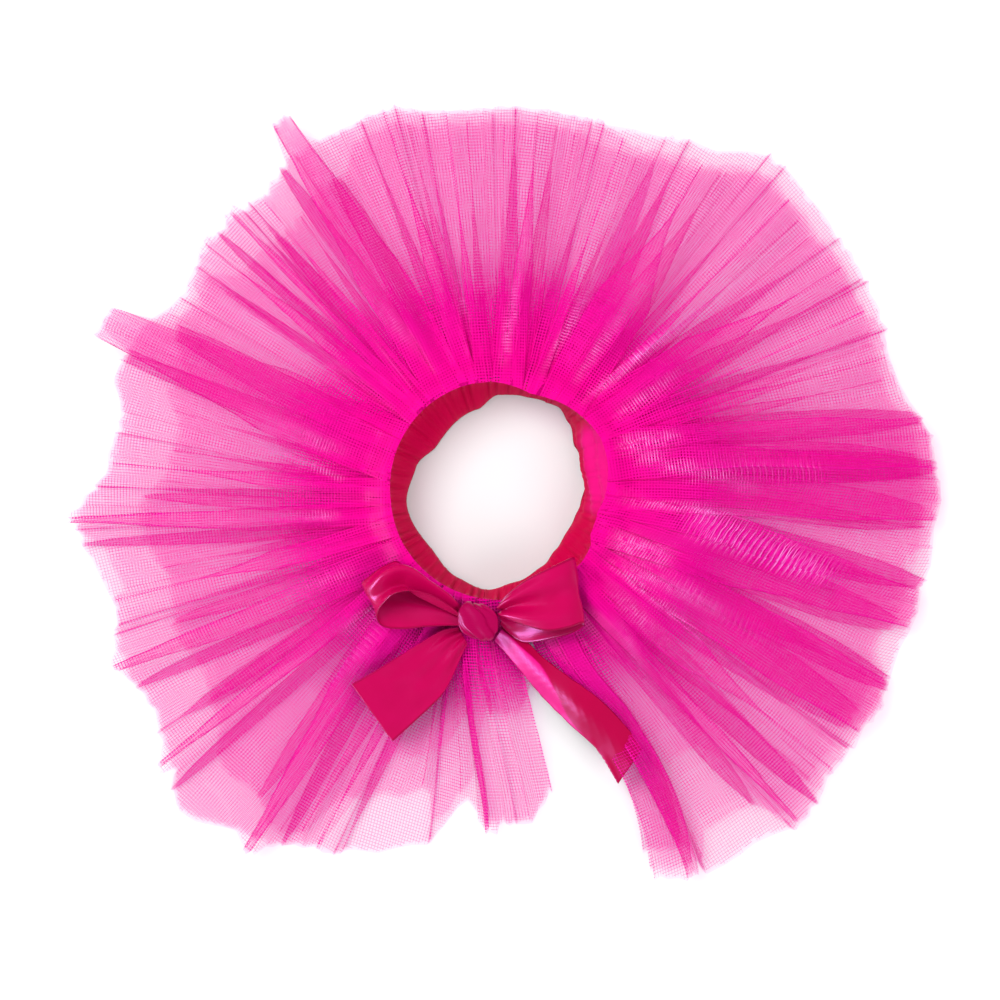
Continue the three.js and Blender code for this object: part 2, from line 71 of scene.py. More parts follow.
# The folds of the skirt, counterclockwise from the front gap. at, waist: angle at the hem and at the waist;
# reach: hem radius; out: how far the fold sticks out past it; spread: half its width there in degrees; hem,
# half: how far the cloth overlaps itself at the hem and half way in; tip: where along the cloth, from the
# waist (0) to the hem (1), the overlap ends; top: 1 where its clockwise edge is uppermost, -1 where the
# other is.
FOLDS = table("at waist reach out spread hem half tip top", [
    (-68.4, -80, 149, 0, 3, 0, 0, 1, 1),
    (-63.2, -69, 153, 0, 4, 5, 9, 1, -1),
    (-55, -58, 154, 0, 4, 0, 0, 1, 1),
    (-48, -50, 158, 0, 5, 1.4, 6, 1, 1),
    (-40, -41, 154, 0, 5, 0, 12, 0.8, -1),
    (-30, -28, 153, 2.5, 4, 20, 18, 1, -1),
    (-16, -13, 152.5, 1, 5, 13, 24, 1, 1),
    (-0.5, 5, 155, 1, 3, 18, 24, 1, 1),
    (6.5, 16, 153, 1, 5, 17, 16, 1, -1),
    (14, 21.5, 146, 0, 3, 0, 0, 1, 1),
    (19, 24.5, 146, 0, 4, 0, 6, 0.78, 1),
    (26, 28, 148, 0, 3, 0, 4, 0.6, -1),
    (33, 36, 149, 0, 6, 0, 14, 0.84, 1),
    (45, 44, 151, 0, 5, 0, 3, 0.7, -1),
    (50.5, 48, 151.5, 0, 5, 0, 0, 1, -1),
    (58, 55, 141, 0, 7, 0, 20, 0.86, 1),
    (70.5, 70.5, 135, 0, 4, 0, 4, 0.7, -1),
    (84, 83, 135, 0, 6, 0, 7, 0.88, 1),
    (98, 99, 135, 0, 4, 0, 3, 0.75, -1),
    (107, 105.5, 140, 0, 4, 0, 6, 0.82, 1),
    (114, 111, 139, 0, 3, 0, 0, 1, 1),
    (120.5, 117, 139, 13, 4, 6.5, 16, 1, 1),
    (129, 130.5, 133, 0, 4, 0, 5, 0.85, -1),
    (134, 134, 134, 4, 2.5, 1.2, 3, 1, 1),
    (140, 138, 134, 3, 4, 0, 6, 0.9, 1),
    (148, 148, 131, 0, 4, 0, 0, 1, 1),
    (156.9, 160, 138, 14, 5.5, 12, 23, 1, -1),
    (163, 168, 142, 0, 4, 0, 0, 1, 1),
    (169, 173, 136, 0, 4, 0, 0, 1, 1),
    (176, 179, 138, 0, 4, 0, 6, 0.82, 1),
    (184, 190.5, 149, 4, 2.5, 1.8, 8, 1, -1),
    (196, 199, 142, 0, 5, 0, 7, 0.78, 1),
    (205, 212.5, 146, 4, 4, 2.6, 10, 1, -1),
    (212, 216.5, 144, 0, 4, 0, 0, 1, 1),
    (219, 220.5, 149, 6, 3, 1.6, 6, 1, 1),
    (225, 225, 160, 0, 5, 0, 0, 1, 1),
    (235, 229.5, 150, 6, 3, 2.4, 11, 1, -1),
    (243, 245, 142, 0, 5, 0, 5, 0.92, 1),
    (250, 248, 136, 0, 4, 0, 0, 1, 1),
    (257, 249.5, 129, 0, 3, 0, 4, 0.8, 1),
    (264.5, 251, 110, 0, 4, 0, 0, 1, 1),
    (268, 252.8, 118, 4, 4, 1.5, 2, 1, 1),
    (275, 264, 118, 0, 3, 0, 0, 1, 1),
    (280, 275, 108, 0, 3, 0, 0, 1, 1),
])

# The strips, from the surface up. long: the strip's cut length; inset: how far its hem stays inside the
# outline; gathers: small folds at the seam between the main ones; share: how much of each main fold it has;
# turn: how far its main folds lie to one side, in degrees; pick: seed of what is uneven in it; lip: how far
# its seam edge rolls over the rim.
STRIPS = [
    dict(node="skirt_under", long=960.0, inset=0.0, gathers=24, share=0.2, turn=3.5, pick=11, lip=0.0),
    dict(node="skirt_middle", long=980.0, inset=5.0, gathers=26, share=0.4, turn=-3.0, pick=23, lip=0.1),
    dict(node="skirt_top", long=1000.0, inset=1.5, gathers=40, share=1.0, turn=0.0, pick=37, lip=1.0),
]

# Where a strip's hem stays back and shows the paler net below it: strip, hem angle, half its width in
# degrees, and how far back.
SHORT_PLACES = table("node at half back", [
    ("skirt_top", 48.0, 26.0, 4.5),
    ("skirt_middle", 56.0, 22.0, 3.0),
    ("skirt_top", 255.0, 11.0, 34.0),
    ("skirt_middle", 250.0, 9.0, 16.0),
    ("skirt_top", -21.5, 2.2, 8.0),
    ("skirt_middle", -22.0, 2.4, 5.0),
    ("skirt_top", -9.5, 1.8, 7.0),
    ("skirt_top", 149.0, 3.0, 5.0),
    ("skirt_top", 191.0, 5.0, 4.0),
    ("skirt_top", -56.0, 6.5, 40.0),
    ("skirt_middle", -55.0, 6.0, 9.0),
    ("skirt_under", -65.5, 4.0, 12.0),
    ("skirt_middle", 194.0, 44.0, 16.0),
    ("skirt_middle", 128.0, 16.0, 10.0),
    ("skirt_middle", 273.0, 8.5, 34.0),
])

# The top strip's front pleat lies over the end of the right tail: where, how far around, and at what height.
OVER_TAIL = dict(x=45.0, y=-93.0, half=17.0, z=16.9, from_to=(84.0, 90.0))

# From the first to the second angle of PLAIN_FRONT the gathers grow short and loose, by these shares, so that
# the front panel hangs plain. The net is gathered closer round CLOSEST_AT and looser on the far side.
PLAIN_FRONT = (246.0, 258.0)
PLAIN_SHORTER = 0.5
PLAIN_LOOSER = 0.6
CLOSER_RIGHT = 0.4
CLOSEST_AT = -10.0

# The main folds of the lower strips lie aside, but not next to the front gap: it starts between the first
# two angles and ends between the others.
TURN_STARTS = (SKIRT_START + 8, SKIRT_START + 20)
TURN_ENDS = (SKIRT_END - 34, SKIRT_END - 12)

# A fold's weight is its part of the spare cloth, and its line is how dark its edge looks. A main fold has a
# fixed part of each and one that grows with the strip's share. A gather's end has a least place, what
# chance adds to it, and what more it has in a lower strip; its shift is how far it strays from even
# spacing, in degrees.
MAIN_WEIGHT = (0.3, 1.1)
MAIN_LINE = (0.3, 0.7)
GATHER_WEIGHT = (0.6, 1.5)
GATHER_LINE = 0.15
GATHER_TIP = (0.18, 0.6, 0.3)
GATHER_SHIFT = 1.8
CUT_EDGE_LINE = 0.7

# A main fold keeps its width as far as HALF_WAY, then widens or narrows to the hem; a fold that ends closes
# over the last CLOSING of its length. The spare cloth is taken up less and less along a fold, but for a least
# share. A fold is never narrower than LEAST_OVERLAP, and the shared cloth makes none wider than MOST_OVERLAP:
# so many times the space beside it and so many millimetres.
HALF_WAY = 0.45
WIDENING = 0.65
CLOSING = 0.38
SPARE_FALLS = 1.35
LEAST_SHARE = 0.004
LEAST_OVERLAP = 0.12
MOST_OVERLAP = (3.2, 3.0)

# Heights: the step from one pass to the next at the hem and what more it is at the waist, the small waves
# of the cloth, the round edge of a fold, what the net lies above the rim where it rolls over it, the step
# between passes there, and the least height.
PASS_STEP = (0.3, 0.75)
RIPPLE = 0.35
ROUND_EDGE = 2.2
ABOVE_RIM = 0.9
CLOSE_STEP = 0.5
LEAST_HEIGHT = 0.25

# The hem's two waves, as depth and turn in radians a degree; the least length of the net; how far out from
# the seam it counts as gathered; and by how much chance shifts and skews the grid of threads in each pass.
RAGGED = [(0.7, 2.9), (0.5, 7.3)]
LEAST_LENGTH = 12.0
GATHERED_WIDE = 46.0
GRID_SHIFT = 50.0
GRID_SKEW = 0.03

# The seam edge of the net rolls over the ribbon's rim. LIP is angle and radius of that inner edge, and RIM
# the height of the ribbon's top edge at an angle.
LIP = [
    (-80, 38.1), (-40, 38.0), (-31, 37.2), (-26, 35.2), (-12, 35.0), (-8, 36.0), (-4, 36.8), (4, 37.6),
    (15, 38.9), (28, 39.5), (42, 38.2), (54, 37.0), (62, 35.9), (72, 35.0), (82, 36.2), (92, 37.3),
    (110, 38.0), (130, 38.1), (160, 38.0), (186, 37.6), (205, 38.0), (230, 38.1), (280, 38.1),
]
RIM = [
    (-98, 18.5), (-60, 18.5), (-47, 19.0), (-33, 22.0), (0, 22.0), (30, 23.0), (50, 24.0), (190, 24.0),
    (220, 22.0), (245, 19.5), (262, 18.5), (282, 18.5),
]

# Where the net is pulled on the bias, so that its crosswise threads slant: facing angle, half its width in
# degrees, and how steep the slant is.
BIAS = dict(at=-11.0, half=12.5, slant=-0.36)

# Painted highlights: places where the net would catch the light, painted lilac on its threads, each along a
# line from its outer to its inner end, given as angle and radius, with half its width in millimetres and how
# strong it is. Where it is hatched, every second crosswise thread is painted lilac by itself.
PAINTED_HATCH = table("outer inner half strong", [
    ((-14.6, 127), (-8.8, 64), 8.5, 1.0),
    ((3, 118), (7, 68), 6.5, 0.3),
    ((-30, 112), (-27, 66), 5.0, 0.3),
    ((41, 100), (46, 60), 3.0, 0.4),
    ((229, 96), (229, 62), 2.4, 0.6),
])
PAINTED_GLEAMS = table("outer inner half strong", [
    ((0, 92), (15, 48), 2.4, 0.85),
    ((-6, 112), (-5, 44), 2.0, 0.7),
    ((-37, 118), (-33, 46), 2.0, 0.85),
    ((-22, 66), (-24, 42), 5.5, 0.6),
    ((168.4, 92), (176, 54), 1.4, 0.9),
    ((16, 66), (20, 44), 3.0, 0.7),
    ((41, 118), (46, 44), 2.4, 0.75),
    ((33, 76), (32, 48), 2.6, 0.6),
    ((64, 130), (69, 46), 2.2, 0.7),
    ((55, 92), (55, 46), 2.2, 0.5),
    ((84, 96), (88, 44), 2.0, 0.6),
    ((103, 118), (101, 58), 2.4, 0.5),
    ((125, 110), (122, 60), 3.0, 0.45),
    ((146, 118), (143, 66), 3.6, 0.5),
    ((163, 96), (166, 56), 3.0, 0.55),
    ((186, 84), (189, 56), 2.6, 0.55),
    ((206, 84), (209, 58), 3.0, 0.45),
    ((222, 76), (226, 52), 3.4, 0.6),
    ((-29, 92), (-30, 50), 3.2, 0.6),
    ((-43, 110), (-42, 52), 3.6, 0.65),
    ((-54, 116), (-48, 60), 3.0, 0.5),
])


def column(name):
    return np.array([fold[name] for fold in FOLDS], float)


def smooth(value, low, high):
    t = np.clip((value - low) / (high - low), 0, 1)
    return t * t * (3 - 2 * t)


def eased(angle, name):
    """A column of the folds at any hem angle, eased between its rows."""
    at, values = column("at"), column(name)
    i = np.clip(np.searchsorted(at, angle, side="right") - 1, 0, len(at) - 2)
    t = smooth(angle, at[i], at[i + 1])
    return values[i] + (values[i + 1] - values[i]) * t


def sticking_out(angle):
    """How far the folds stick out past the hem at an angle: flat ends with steep sides."""
    most = np.zeros_like(angle)
    for fold in FOLDS:
        flat = 0.4 * fold["spread"]
        most = np.maximum(most, fold["out"] * (1 - smooth(np.abs(angle - fold["at"]), flat, flat + 0.5)))
    return most


def held_back(angle, node):
    """How far a strip's hem stays back at an angle."""
    back = np.zeros_like(angle)
    for place in SHORT_PLACES:
        if place["node"] == node:
            near = 1 - smooth(np.abs(angle - place["at"]), 0.75 * place["half"], place["half"])
            back = np.maximum(back, place["back"] * near)
    return back


class MiddleHeights:
    """Height of a solid's middle at any place, read from the frame on a polar grid and evened out."""

    STEP_DEGREES = 1.5
    STEP_RADIUS = 2.5
    RADII = np.arange(36.0, 176.0, STEP_RADIUS)

    def __init__(self, node):
        tree = BVHTree.FromObject(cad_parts[node], bpy.context.evaluated_depsgraph_get())
        angles = np.radians(np.arange(0, 360, self.STEP_DEGREES))
        grid = np.full((len(angles), len(self.RADII)), np.nan)
        for i, angle in enumerate(angles):
            for j, radius in enumerate(self.RADII):
                x = (RING_CENTRE[0] + radius * math.cos(angle)) / 1000
                y = (RING_CENTRE[1] + radius * math.sin(angle)) / 1000
                down = tree.ray_cast(Vector((x, y, 0.1)), Vector((0, 0, -1)))[0]
                up = tree.ray_cast(Vector((x, y, -0.1)), Vector((0, 0, 1)))[0]
                if down and up:
                    grid[i, j] = 1000 * (down.z + up.z) / 2
        self.grid = self.filled(grid)

    @staticmethod
    def filled(grid):
        """Places past the solid take the height of the nearest ones on it; then a light blur."""
        while np.isnan(grid).any():
            near = [np.roll(grid, 1, 0), np.roll(grid, -1, 0)]
            near.append(np.pad(grid, ((0, 0), (1, 0)), constant_values=np.nan)[:, :-1])
            near.append(np.pad(grid, ((0, 0), (0, 1)), constant_values=np.nan)[:, 1:])
            count = np.sum(~np.isnan(near), 0)
            mean = np.nansum(near, 0) / np.maximum(count, 1)
            grid = np.where(np.isnan(grid) & (count > 0), mean, grid)
        for _ in range(2):
            padded = np.pad(grid, ((0, 0), (1, 1)), mode="edge")
            grid = 0.25 * padded[:, :-2] + 0.5 * grid + 0.25 * padded[:, 2:]
            grid = 0.2 * np.roll(grid, 1, 0) + 0.6 * grid + 0.2 * np.roll(grid, -1, 0)
        return grid

    def __call__(self, angle, radius):
        a = np.mod(angle, 360) / self.STEP_DEGREES
        b = np.clip((radius - self.RADII[0]) / self.STEP_RADIUS, 0, len(self.RADII) - 1.001)
        i, j = np.floor(a).astype(int), np.floor(b).astype(int)
        u, v = a - i, b - j
        turn = self.grid.shape[0]
        near = self.grid[i % turn, j] * (1 - v) + self.grid[i % turn, j + 1] * v
        far = self.grid[(i + 1) % turn, j] * (1 - v) + self.grid[(i + 1) % turn, j + 1] * v
        return near * (1 - u) + far * u


def add_mesh(name, points, faces, corner_uv=None, attributes=None):
    """A mesh object in the row frame from points in millimetres about the ring's centre."""
    moved = (points + np.array([RING_CENTRE[0], RING_CENTRE[1], 0.0])) / 1000
    mesh = bpy.data.meshes.new(name)
    mesh.from_pydata(moved.tolist(), [], faces.tolist())
    if corner_uv is not None:
        layer = mesh.uv_layers.new(name="cloth_mm")
        layer.data.foreach_set("uv", corner_uv.astype(np.float32).ravel())
    for key, values in (attributes or {}).items():
        mesh.attributes.new(key, "FLOAT", "POINT").data.foreach_set("value", values.astype(np.float32))
    mesh.polygons.foreach_set("use_smooth", np.ones(len(faces), bool))
    mesh.update()
    piece = bpy.data.objects.new(name, mesh)
    bpy.context.scene.collection.objects.link(piece)
    return piece


def grid_faces(rows, columns):
    """Quads of a grid whose points run along its rows."""
    corner = np.arange(rows * columns).reshape(rows, columns)
    quads = [corner[:-1, :-1], corner[:-1, 1:], corner[1:, 1:], corner[1:, :-1]]
    return np.stack(quads, -1).reshape(-1, 4)


def gleam(angles, radii, lines):
    """How strongly a painted lilac highlight lies on the net at each place, from 0 to 1."""
    x, y = radii * np.cos(np.radians(angles)), radii * np.sin(np.radians(angles))
    most = np.zeros_like(x)
    for line in lines:
        (a0, r0), (a1, r1) = line["outer"], line["inner"]
        x0, y0 = r0 * math.cos(math.radians(a0)), r0 * math.sin(math.radians(a0))
        x1, y1 = r1 * math.cos(math.radians(a1)), r1 * math.sin(math.radians(a1))
        length = math.hypot(x1 - x0, y1 - y0)
        along = ((x - x0) * (x1 - x0) + (y - y0) * (y1 - y0)) / length**2
        aside = np.abs((x - x0) * (y1 - y0) - (y - y0) * (x1 - x0)) / length
        fade = smooth(along, -0.08, 0.25) * (1 - smooth(along, 0.75, 1.08))
        most = np.maximum(most, line["strong"] * fade * (1 - smooth(aside, 0.2 * line["half"], line["half"])))
    return most


def strip_folds(strip, pick):
    """The strip's folds in order round the waist: its share of the main ones, and small gathers spaced
    between them by the cloth there is at the waist. tip, weight and line are where a fold ends, its share
    of the spare cloth, and how dark its edge looks."""
    share = strip["share"]
    turned = strip["turn"] * smooth(column("at"), *TURN_STARTS) * (1 - smooth(column("at"), *TURN_ENDS))
    at, waist = column("at") + turned, column("waist") + turned
    slots = np.linspace(waist[0], waist[-1], strip["gathers"] + 2)[1:-1]
    slots = np.sort(slots + pick.uniform(-GATHER_SHIFT, GATHER_SHIFT, len(slots)))
    gather_at = np.interp(slots, waist, at)
    is_main = column("half") + column("hem") > 0
    mains = np.ones(int(is_main.sum()))
    gathers = np.ones(len(slots))
    least, by_chance, lower_more = GATHER_TIP
    gather_tip = least + by_chance * pick.uniform(0, 1, len(slots)) ** 2 + lower_more * (1 - share)
    gather_tip = gather_tip * (1 - PLAIN_SHORTER * smooth(gather_at, *PLAIN_FRONT))
    columns = dict(
        at=(at[is_main], gather_at),
        waist=(waist[is_main], slots),
        hem=(column("hem")[is_main] * share, 0 * gathers),
        half=(column("half")[is_main] * share, 0 * gathers),
        tip=(column("tip")[is_main], gather_tip),
        weight=((MAIN_WEIGHT[0] + MAIN_WEIGHT[1] * share) * mains, pick.uniform(*GATHER_WEIGHT, len(slots))),
        top=(column("top")[is_main], pick.choice([-1, 1], len(slots))),
        line=((MAIN_LINE[0] + MAIN_LINE[1] * share) * mains, GATHER_LINE * gathers),
    )
    order = np.argsort(np.concatenate(columns["waist"]))
    folds = {name: np.concatenate(parts)[order] for name, parts in columns.items()}
    closer = 1 + CLOSER_RIGHT * np.cos(np.radians(folds["waist"] - CLOSEST_AT))
    looser = 1 - PLAIN_LOOSER * smooth(folds["at"], *PLAIN_FRONT)
    folds["weight"] = folds["weight"] * closer * looser
    return folds


def plan_angle(hem_angle, waist_angle, v):
    """Angles down the rows of a line that runs from one angle at the waist to another at the hem."""
    straight = hem_angle + (waist_angle - hem_angle) * ((1 - v) ** 1.5)[:, None]
    near_start = 1 - smooth(hem_angle, SKIRT_START, SKIRT_START + EDGE_TURN_WIDE)
    return straight + EDGE_TURN * near_start * (np.sin(math.pi * v) * smooth(v, 0.15, 0.5))[:, None]


def fold_overlaps(strip, folds, radius, v):
    """How far the cloth overlaps itself at each fold and row: the main folds' own part, then what is left
    of the strip's length, shared among all by weight."""
    down = v[:, None]
    closing = np.where(folds["tip"] >= 1, 1.0, smooth(folds["tip"][None, :] - down, 0, CLOSING))
    past_half = (np.maximum(down - HALF_WAY, 0) / (1 - HALF_WAY)) ** WIDENING
    widened = folds["half"] + (folds["hem"] - folds["half"]) * past_half
    own = np.where(down > HALF_WAY, widened, folds["half"]) * closing
    arc = np.radians(SKIRT_END - SKIRT_START) * (WAIST_RADIUS + v * (MEAN_HEM_RADIUS - WAIST_RADIUS))
    spare = np.maximum(strip["long"] - arc - 2 * own.sum(1), 0)
    wanted = folds["weight"] * np.maximum(folds["tip"][None, :] - down, 0) ** SPARE_FALLS + LEAST_SHARE
    shared = 0.5 * spare[:, None] * wanted / wanted.sum(1)[:, None]
    overlap = np.maximum(own + shared, LEAST_OVERLAP)
    limit = np.radians(np.gradient(folds["waist"]))[None, :] * radius * MOST_OVERLAP[0] + MOST_OVERLAP[1]
    return np.minimum(overlap, np.maximum(limit, own))


def lay_passes(folds, low, high, start, end, degree_per_mm):
    """The columns of the strip as it goes forward over each panel, back at each fold, and on. A column is a
    share of its pass, or a few tenths of a millimetre from one of its ends, where the net turns and stands
    on edge. Ranks are how high the passes lie on each other, from 0 to 2."""
    first_rank = np.where(folds["top"] > 0, 0.0, 2.0)
    last_rank = 2.0 - first_rank
    angles, ranks, on_edge, passes = [], [], [], []

    def lay_pass(left, right, rank_from, rank_to, line_from, line_to):
        wide = right - left
        room = np.minimum(1.0, np.abs(wide) / (ROOM_FOR_TURNS * degree_per_mm))
        way = np.sign(wide) * degree_per_mm * room
        begin = len(angles)
        for distance, bead in TURN_STEPS[1:] if angles else TURN_STEPS:
            angles.append(left + way * distance)
            ranks.append(rank_from if distance else 0.5 * (rank_from + rank_to))
            on_edge.append(np.full(len(way), bead * line_from))
        inner_left = left + way * TURN_STEPS[-1][0]
        inner_right = right - way * TURN_STEPS[-1][0]
        for share in PASS_SHARES:
            angles.append(inner_left + (inner_right - inner_left) * share)
            ranks.append(rank_from + (rank_to - rank_from) * share)
            on_edge.append(np.zeros(len(way)))
        for distance, bead in reversed(TURN_STEPS):
            angles.append(right - way * distance)
            ranks.append(rank_to if distance else 0.5 * (rank_to + 1.0))
            on_edge.append(np.full(len(way), bead * line_to))
        passes.append((max(begin - 1, 0), len(angles) - 1))

    line = folds["line"]
    count = len(line)
    for k in range(count + 1):
        left = low[:, k - 1] if k else start
        right = high[:, k] if k < count else end
        rank_from = last_rank[k - 1] if k else 0.0
        rank_to = first_rank[k] if k < count else 0.0
        line_from = line[k - 1] if k else CUT_EDGE_LINE
        line_to = line[k] if k < count else CUT_EDGE_LINE
        lay_pass(left, right, rank_from, rank_to, line_from, line_to)
        if k < count:
            lay_pass(high[:, k], low[:, k], 1.0, 1.0, line[k], line[k])
    return np.stack(angles, 1), np.array(ranks), np.stack(on_edge, 1), passes


def strip_heights(strip, angles, radii, ranks, on_edge, v):
    """Heights on the solid's middle, with the passes lying on each other and small waves in the cloth; then
    over the ribbon's rim, and over the right tail."""
    down = v[:, None]
    middle = MiddleHeights(strip["node"])(angles, radii)
    step = PASS_STEP[0] + PASS_STEP[1] * (1 - smooth(down, 0.05, 0.6))
    ripple = RIPPLE * np.sin(angles * 0.9 + radii * 0.11 + strip["pick"]) * smooth(down, 0.1, 0.5)
    side = np.where(ranks == 1.0, -1, 1)
    bead = on_edge * (1 - on_edge) * ROUND_EDGE * side * (0.5 + smooth(down, 0, 0.4))
    height = middle + (ranks - 1) * step + ripple + bead
    over_rim = np.interp(angles[0], *np.array(RIM, float).T) + ABOVE_RIM + CLOSE_STEP * (ranks - 1)
    rolled = strip["lip"] ** 2 * (1 - smooth(radii, WAIST_RADIUS + 0.5, WAIST_RADIUS + 8))
    height = height + rolled * np.maximum(over_rim - height, 0)
    if strip["node"] == "skirt_top":
        x = radii * np.cos(np.radians(angles))
        y = radii * np.sin(np.radians(angles))
        half = OVER_TAIL["half"]
        aside = ((x - OVER_TAIL["x"]) / half) ** 2 + ((y - OVER_TAIL["y"]) / half) ** 2
        near = np.exp(-(aside**2)) * smooth(x * 0.8 - y * 0.6, *OVER_TAIL["from_to"])
        height = height + near * np.maximum(OVER_TAIL["z"] + CLOSE_STEP * (ranks - 1) - height, 0)
    return np.maximum(height, LEAST_HEIGHT)


def thread_grid(points, angles, passes, pick):
    """The cloth's own grid in millimetres: threads stay straight and evenly spaced across each pass."""
    rows = len(points)
    uv_rows = []
    for n, (a, b) in enumerate(passes):
        block = points[:, a : b + 1]
        gaps = np.linalg.norm(np.diff(block, axis=1), axis=2)
        across = np.concatenate([np.zeros((rows, 1)), np.cumsum(gaps, 1)], 1)
        across = across - across[:, -1:] / 2
        if n % 2:
            across = -across
        faces = angles[int(rows * 0.7), (a + b) // 2]
        facing = np.radians(faces)
        along = block[..., 0] * math.cos(facing) + block[..., 1] * math.sin(facing)
        skew = pick.normal(0, GRID_SKEW) + BIAS["slant"] * (abs(faces - BIAS["at"]) < BIAS["half"])
        along = along + skew * across + pick.uniform(0, GRID_SHIFT)
        uv = np.stack([across + pick.uniform(0, GRID_SHIFT), along], -1)
        uv_rows.append(np.stack([uv[:-1, :-1], uv[:-1, 1:], uv[1:, 1:], uv[1:, :-1]], 2))
    return np.concatenate(uv_rows, 1).reshape(-1, 2)


def gathered_strip(strip):
    """The net strip as one sheet, folded, gathered and laid on its solid."""
    pick = np.random.default_rng(strip["pick"])
    v = np.linspace(0, 1, NET_ROWS) ** CLOSER_AT_WAIST
    folds = strip_folds(strip, pick)
    centre = plan_angle(folds["at"][None, :], folds["waist"][None, :], v)
    mean_reach = 0.5 * (eased(folds["at"], "reach") + MEAN_REACH) - strip["inset"]
    radius = WAIST_RADIUS + v[:, None] * (mean_reach - WAIST_RADIUS)
    half_width = np.degrees(fold_overlaps(strip, folds, radius, v) / 2 / radius)
    ends = []
    for hem_end, row in ((SKIRT_START, FOLDS[0]), (SKIRT_END, FOLDS[-1])):
        ends.append(plan_angle(np.array([[hem_end]]), np.array([[row["waist"]]]), v)[:, 0])
    degree_per_mm = np.degrees(1 / radius)[:, 0]
    low, high = centre - half_width, centre + half_width
    angles, ranks, on_edge, passes = lay_passes(folds, low, high, *ends, degree_per_mm)

    # The hem follows the outline, a little ragged, and stays back where it is held back.
    hem_angle = angles[-1]
    (slow, slow_turn), (quick, quick_turn) = RAGGED
    ragged = slow * np.sin(hem_angle * slow_turn + strip["pick"]) + quick * np.sin(hem_angle * quick_turn)
    reach = eased(hem_angle, "reach") + (1 if strip["share"] == 1 else 0) * sticking_out(hem_angle)
    hem = reach - strip["inset"] + ragged - held_back(hem_angle, strip["node"])
    hem = np.maximum(hem, WAIST_RADIUS + LEAST_LENGTH)
    lip_radius = np.interp(angles[0], *np.array(LIP, float).T)
    seam = WAIST_RADIUS + (lip_radius - WAIST_RADIUS) * strip["lip"]
    radii = seam + v[:, None] * (hem - seam)
    height = strip_heights(strip, angles, radii, ranks, on_edge, v)
    points = np.stack([radii * np.cos(np.radians(angles)), radii * np.sin(np.radians(angles)), height], -1)

    gathered = 1 - smooth(radii, WAIST_RADIUS, WAIST_RADIUS + GATHERED_WIDE)
    marks = dict(
        to_hem=(hem - radii).ravel(),
        gathered=gathered.ravel(),
        on_edge=(on_edge * (1 - 0.5 * gathered)).ravel(),
        # Painted highlights: where lilac is painted on the threads, as dashes and as a hatch.
        gleam=gleam(angles, radii, PAINTED_GLEAMS).ravel(),
        hatched=gleam(angles, radii, PAINTED_HATCH).ravel(),
    )
    corner_uv = thread_grid(points, angles, passes, pick)
    faces = grid_faces(*angles.shape)
    return add_mesh(strip["node"] + "_net", points.reshape(-1, 3), faces, corner_uv, marks)


def linear(colour):
    """An sRGB hex colour as linear RGBA."""
    values = [int(colour[i : i + 2], 16) / 255 for i in (1, 3, 5)]
    return [x / 12.92 if x <= 0.04045 else ((x + 0.055) / 1.055) ** 2.4 for x in values] + [1.0]


def add_node(material, kind, settings=None, **links):
    """A node with its settings, and links from other nodes' outputs to its inputs, by number or name."""
    node = material.node_tree.nodes.new(kind)
    for key, value in (settings or {}).items():
        if isinstance(key, str) and hasattr(node, key):
            setattr(node, key, value)
        else:
            node.inputs[key].default_value = value
    for key, source in links.items():
        socket = node.inputs[int(key[1:]) if key[0] == "i" and key[1:].isdigit() else key.replace("_", " ")]
        if isinstance(source, tuple):
            material.node_tree.links.new(source[0].outputs[source[1]], socket)
        else:
            material.node_tree.links.new(source.outputs[0], socket)
    return node


def add_math(material, operation, *inputs, clamp=False):
    """A Math node. Each input is a number, a node, or a node and the number of its output."""
    settings = {"operation": operation, "use_clamp": clamp}
    links = {}
    for number, source in enumerate(inputs):
        if isinstance(source, (int, float)):
            settings[number] = source
        else:
            links[f"i{number}"] = source
    return add_node(material, "ShaderNodeMath", settings, **links)


def new_material(name):
    material = bpy.data.materials.new(name)
    material.use_nodes = True
    material.node_tree.nodes.clear()
    return material


